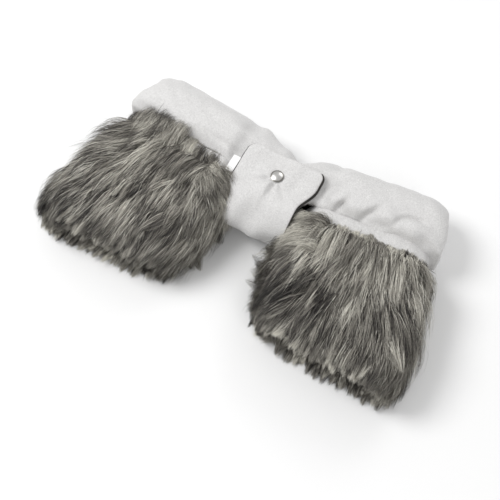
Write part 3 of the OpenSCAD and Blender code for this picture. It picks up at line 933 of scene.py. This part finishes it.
def fur_pieces(word):
    """The furs of one cuff, from the coat on top to the wisps at its sides."""
    left = word == "left"
    patches = PATCHES[word]
    pieces = {
        "fur_top": dict(
            count=27000, area=(-0.31, 0.31, 0.000, MOUTH_S), length=0.048, lift=0.36, width=0.00062,
            tone=0.46, patches=patches),
        "fur_guard": dict(
            count=12000, area=(-0.33, 0.33, 0.000, MOUTH_S), length=0.062, lift=0.44, width=0.00050,
            tone=0.43, locks=0.007, gather=0.70, patches=patches, spread_by=0.18),
        "fur_under": dict(
            count=12000, area=(0.24, 0.76, 0.004, MOUTH_S), length=0.044, lift=0.26, width=0.00085,
            tone=0.52),
        "fur_rim": dict(
            count=16000, area=(0.0, 1.0, MOUTH_S - 0.030, MOUTH_S + 0.010), length=0.044 if left else 0.050,
            lift=0.30, width=0.00066, tone=0.56, gather=0.72, locks=0.0075, spread_by=0.24, tips=LIGHT_TIPS,
            forward=0.8, patches=patches),
        "fur_tufts": dict(
            count=7000, area=(-0.36, 0.36, 0.045, MOUTH_S), length=0.060, lift=0.46, width=0.00080,
            tone=0.70, gather=0.92, locks=0.0125, spread_by=0.12, patches=patches, forward=0.35),
        "fur_soft": dict(
            count=15000, area=(-0.5, 0.5, 0.000, MOUTH_S + 0.006), length=0.024, lift=0.60, width=0.0008,
            tone=0.42, gather=0.2),
        "fur_edge": dict(
            count=8000 if left else 5000, area=(-0.14 if left else -0.32, 0.32, 0.000, 0.012),
            length=0.027 if left else 0.014, lift=0.45, width=0.0005, tone=0.42 if left else 0.34,
            heading=BACKWARD, gather=0.6, droop=0.12, spread_by=0.2, locks=0.006,
            tips=(-0.05, 0.0, 0.08, 0.2)),
        "fur_side": dict(
            count=6500, area=(-0.25, -0.11, 0.000, 0.055), length=0.040, lift=0.80, width=0.0005, tone=0.30,
            heading=math.radians(-46), gather=0.55, droop=0.02, spread_by=0.25, locks=0.007),
        "fur_outer": dict(
            count=4500, area=(0.12, 0.36, 0.020, MOUTH_S), length=0.044, lift=0.32, width=0.00065, tone=0.52,
            heading=math.radians(6 if left else -6), gather=0.80, locks=0.009, spread_by=0.2),
        "fur_inner": dict(
            count=5500, area=(-0.38, -0.14, 0.030, MOUTH_S), length=0.042 if left else 0.056, lift=0.46,
            width=0.00062, tone=0.50, heading=math.radians(-8 if left else -24), gather=0.85, locks=0.009,
            spread_by=0.22, patches=patches),
        "fur_wisp_in": dict(
            count=1100, area=(-0.40, -0.22, 0.045, MOUTH_S - 0.010), length=0.058, lift=0.25, width=0.00048,
            tone=0.52, heading=math.radians(-52), gather=0.94, locks=0.017, droop=0.05, spread_by=0.2),
        "fur_wisp_out": dict(
            count=900, area=(0.21, 0.40, 0.030, MOUTH_S - 0.010), length=0.050, lift=0.25, width=0.00045,
            tone=0.50, heading=math.radians(34), gather=0.94, locks=0.017, droop=0.05, spread_by=0.2),
    }
    if left:
        pieces["fur_crest"] = dict(
            count=2600, area=(0.00, 0.165, 0.000, 0.030), length=0.046, lift=0.55, width=0.00042, tone=0.46,
            heading=BACKWARD - 0.25, gather=0.60, droop=0.05, locks=0.008, spread_by=0.25,
            tips=(-0.06, -0.02, 0.08, 0.26))
    return pieces


FUR_SEED = {"left": 100, "right": 200}
for word, side in SIDES.items():
    hem = ring_tube(f"{word}_cuff_hem_cloth", side, 20, 260, hem_position(31 + side), HEM)
    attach(hem, f"{word}_cuff")
    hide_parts(f"{word}_cuff_hem")
    backing = backing_sheet(word, side)
    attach(backing, f"{word}_cuff")
    for k, (label, options) in enumerate(fur_pieces(word).items()):
        options["count"] = int(options["count"] * (1))
        fur = make_fur(f"{word}_{label}", word, FUR_SEED[word] + 1 + k, **options)
        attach(fur, f"{word}_cuff")
        if label == "fur_top":
            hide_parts(f"{word}_cuff_fur")


# ---- Flap ------------------------------------------------------------------

FLAP_HW, FRONT_HW, CORNER = 0.053, 0.043, 0.010
FLAP_HI = np.array(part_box("flap_shell")[1])
TIP_Y = float(FLAP_HI[1])
# The front curve is a half circle from the lower panel up to the flap's top
CURVE_R = float(FLAP_HI[2]) / 2
CURVE_Y = SHIFT_Y - 0.028
FLAP_SINK = 0.0004


def flap_path():
    """(y, z) of the outer face, from the lower panel round the front and over the top to the free edge."""
    r = CURVE_R - FLAP_SINK
    pts = [(CURVE_Y + 0.012, CURVE_R - r)]
    for ang in np.linspace(-math.pi / 2, math.pi / 2, 60):
        pts.append((CURVE_Y - r * math.cos(ang), CURVE_R + r * math.sin(ang)))
    pts += [(y, CURVE_R + r) for y in np.linspace(CURVE_Y, TIP_Y, 28)[1:]]
    return np.array(pts)


path = flap_path()
pd = np.r_[0, np.cumsum(np.linalg.norm(np.diff(path, axis=0), axis=1))]
FLAP_LEN = pd[-1]
TOP_Q = float(pd[-28])
SNAP_Q = FLAP_LEN - (TIP_Y - SHIFT_Y)
# Where the flap widens, on its left edge and on its right edge
TAPER_LEFT, TAPER_RIGHT = (TOP_Q - 0.022, TOP_Q + 0.002), (TOP_Q - 0.002, TOP_Q + 0.036)
FLAP_NOISE = Noise(61, 0.04)
# Sharper folds from the press stud: bearing in radians, 0 towards the free edge, and size
FLAP_RAYS = ((3.55, 1.0), (3.16, -1.1), (2.85, 0.9), (4.1, -0.6))
RAY_DEPTH, RAY_WIDTH, RAY_REACH = 0.0033, 0.0030, 0.034


def flap_half_width(q, x):
    """Width of the flap on the side that x is on: narrow round the front, wider on top."""
    rise = np.where(x < 0, smooth(*TAPER_LEFT, q), smooth(*TAPER_RIGHT, q))
    return FRONT_HW + (FLAP_HW - FRONT_HW) * rise


def flap_surface(q, x, depth):
    """Point at length q along the flap and x across it, depth below the outer face."""
    y = np.interp(q, pd, path[:, 0])
    z = np.interp(q, pd, path[:, 1])
    h = 0.002
    ty = np.interp(q + h, pd, path[:, 0]) - np.interp(q - h, pd, path[:, 0])
    tz = np.interp(q + h, pd, path[:, 1]) - np.interp(q - h, pd, path[:, 1])
    n = np.hypot(ty, tz).clip(1e-9)
    ny, nz = -tz / n, ty / n
    r = np.hypot(x, q - SNAP_Q)
    ang = np.arctan2(x, q - SNAP_Q)
    # Folds run out from the press stud, mostly towards the front
    folds = np.cos(7 * ang + 1.1 + 10 * r) * 0.5 + np.cos(4 * ang - 0.7 - 14 * r) * 0.6
    folds = folds + 0.4 * np.cos(11 * ang + 2)
    fade = smooth(0.007, 0.015, r) * np.exp(-r / 0.036)
    to_front = smooth(0.2, 0.95, -np.cos(ang))
    wave = 0.0036 * folds * fade * (0.25 + 1.1 * to_front)
    for bearing, size in FLAP_RAYS:
        off = np.abs(np.mod(ang - bearing + math.pi, 2 * math.pi) - math.pi) * r
        ray = np.exp(-((off / RAY_WIDTH) ** 2)) * smooth(0.008, 0.016, r) * np.exp(-((r / RAY_REACH) ** 2))
        wave = wave + size * RAY_DEPTH * ray
    wave = wave - 0.0020 * np.exp(-((r / 0.0115) ** 2))
    uneven = FLAP_NOISE(np.stack([x, q, 0 * x], -1)) * smooth(0.01, 0.03, r) * smooth(0.015, 0.04, z)
    wave = wave + 0.0012 * uneven
    on_top = smooth(TOP_Q - 0.01, TOP_Q + 0.012, q)
    gather = np.exp(-(((q - (TOP_Q - 0.012)) / 0.020) ** 2))
    wave = wave + 0.0014 * gather * np.sin(x / 0.0066 + 1.5 * np.sin(q / 0.02))
    half_w = flap_half_width(q, x)
    edge = np.clip((np.abs(x) - (half_w - 0.022)) / 0.022, 0, 1) ** 2
    wave = wave - 0.0014 * edge * on_top
    wave = wave + 0.0010 * smooth(FLAP_LEN - 0.03, FLAP_LEN, q) * smooth(0.0, 0.05, x)
    d = wave - depth
    return np.stack([x, y + ny * d, np.maximum(z + nz * d, 0.0003)], -1)


def flap_layer(name, mat, d0, d1, wider, tip, corner, q0, puff):
    """A closed, rounded layer between two depths, with two rounded corners at its free edge."""
    nx, nq = 81, 150
    xs = np.linspace(-1, 1, nx)
    qs = q0 + (tip - q0) * (1 - (1 - np.linspace(0, 1, nq)) ** 1.25)
    X, Q = np.meshgrid(xs, qs, indexing="ij")
    into = np.clip((Q - (tip - corner)) / corner, 0, 1)
    w = flap_half_width(Q, X) + wider(Q, X) - corner * (1 - np.sqrt(1 - into**2))
    X = np.sign(X) * (1 - (1 - np.abs(X)) ** 1.15) * w
    edge = np.minimum.reduce([w - np.abs(X), tip - Q, np.full_like(Q, 1.0)])
    roll = np.sqrt(np.clip(1 - (1 - np.clip(edge / puff, 0, 1)) ** 2, 0, 1))
    mid, half = (d0 + d1) / 2, (d1 - d0) / 2
    top = flap_surface(Q.ravel(), X.ravel(), (mid - half * roll).ravel())
    low = flap_surface(Q.ravel(), X.ravel(), (mid + half * roll).ravel())
    verts = np.concatenate([top, low])
    faces = grid_faces(nx, nq, flip=False) + grid_faces(nx, nq, base=nx * nq, flip=True)
    rim = [i * nq for i in range(nx)] + [(nx - 1) * nq + j for j in range(1, nq)]
    rim += [i * nq + nq - 1 for i in range(nx - 2, -1, -1)] + [j for j in range(nq - 2, 0, -1)]
    n0 = nx * nq
    for k, i in enumerate(rim):
        j = rim[(k + 1) % len(rim)]
        faces.append((j, i, n0 + i, n0 + j))
    ob = new_object(name, verts, faces, [mat])
    bm = bmesh.new()
    bm.from_mesh(ob.data)
    bmesh.ops.remove_doubles(bm, verts=bm.verts, dist=0.00002)
    bmesh.ops.recalc_face_normals(bm, faces=bm.faces)
    bm.to_mesh(ob.data)
    bm.free()
    return ob


def none_wider(q, x):
    return 0 * q


def lining_wider(q, x):
    """The dark lining shows along the edge on top, most on the right, and stays hidden round the front."""
    return -0.0010 + np.where(x > 0, 0.0036, 0.0026) * smooth(TOP_Q - 0.016, TOP_Q + 0.008, q)


CLOTH_PUFF, LINING_PUFF = 0.0016, 0.0020
LINING_PAST = 0.0016
flap = flap_layer("flap_cloth", SHELL, 0.0, 0.0019, none_wider, FLAP_LEN, CORNER, 0.0, CLOTH_PUFF)
flap_lining = flap_layer("flap_lining_cloth", CHARCOAL, 0.0020, 0.0052, lining_wider, FLAP_LEN + LINING_PAST,
                         CORNER + 0.001, 0.004, LINING_PUFF)
# Each layer of the flap, the CAD nodes that it takes the place of, and a name for its fabric
FLAP_PARTS = (
    (flap, ("flap_shell", "front_wall_shell"), "outer_fabric"),
    (flap_lining, ("flap_lining", "front_wall_lining"), "dark_lining"),
)
for ob, nodes, slot_name in FLAP_PARTS:
    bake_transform(ob)
    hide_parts(*nodes)

for node_name in ("snap_cap", "snap_socket", "snap_stud", "snap_post", "snap_spring"):
    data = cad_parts[node_name].data
    mat = {"snap_spring": STEEL, "snap_cap": SHADED_RIM_CAP}.get(node_name, NICKEL)
    if not data.materials:
        data.materials.append(mat)
    for slot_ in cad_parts[node_name].material_slots:
        slot_.material = mat

# ---- Label -----------------------------------------------------------------

box_lo, box_hi = (np.array(x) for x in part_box("side_label"))
w_lab, l_lab = box_hi[1] - box_lo[1], box_hi[0] - box_lo[0]
# The tape is folded double at its far end. Both leaves swell a little between the fold and the flap
LEAF_GAP, LEAF_SWELL, FOLD_IN = 0.00034, 0.00025, 0.0004
LABEL_BEND, SELVAGE = 0.0012, 0.05
nx, ny = 26, 40
far_x = box_lo[0] + FOLD_IN
loop = []
for k in range(2 * nx):
    t = (k + 0.5) / (2 * nx)
    if t < 0.5:
        f = t * 2
        loop.append((box_hi[0] - (box_hi[0] - far_x) * f, LEAF_GAP + LEAF_SWELL * math.sin(math.pi * f)))
    else:
        f = (t - 0.5) * 2
        loop.append((far_x + (box_hi[0] - far_x) * f, -LEAF_GAP - LEAF_SWELL * math.sin(math.pi * f)))
verts = []
for x, dz in loop:
    for j in range(ny):
        g = j / (ny - 1)
        y = box_lo[1] + w_lab * g
        bend = LABEL_BEND * ((box_hi[0] - x) / l_lab) ** 2 * math.cos(2.2 * g - 0.4)
        thicker = 4 / 3 if min(g, 1 - g) < SELVAGE else 1
        verts.append((x, y, (box_lo[2] + box_hi[2]) / 2 + dz * thicker + bend))
label = new_object("side_label_tape", verts, grid_faces(2 * nx, ny, True, False), [TAPE])
sol = label.modifiers.new("cloth", "SOLIDIFY")
sol.thickness = 0.00018
sol.offset = 0
apply_modifiers(label)
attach(label, "label")
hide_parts("side_label")
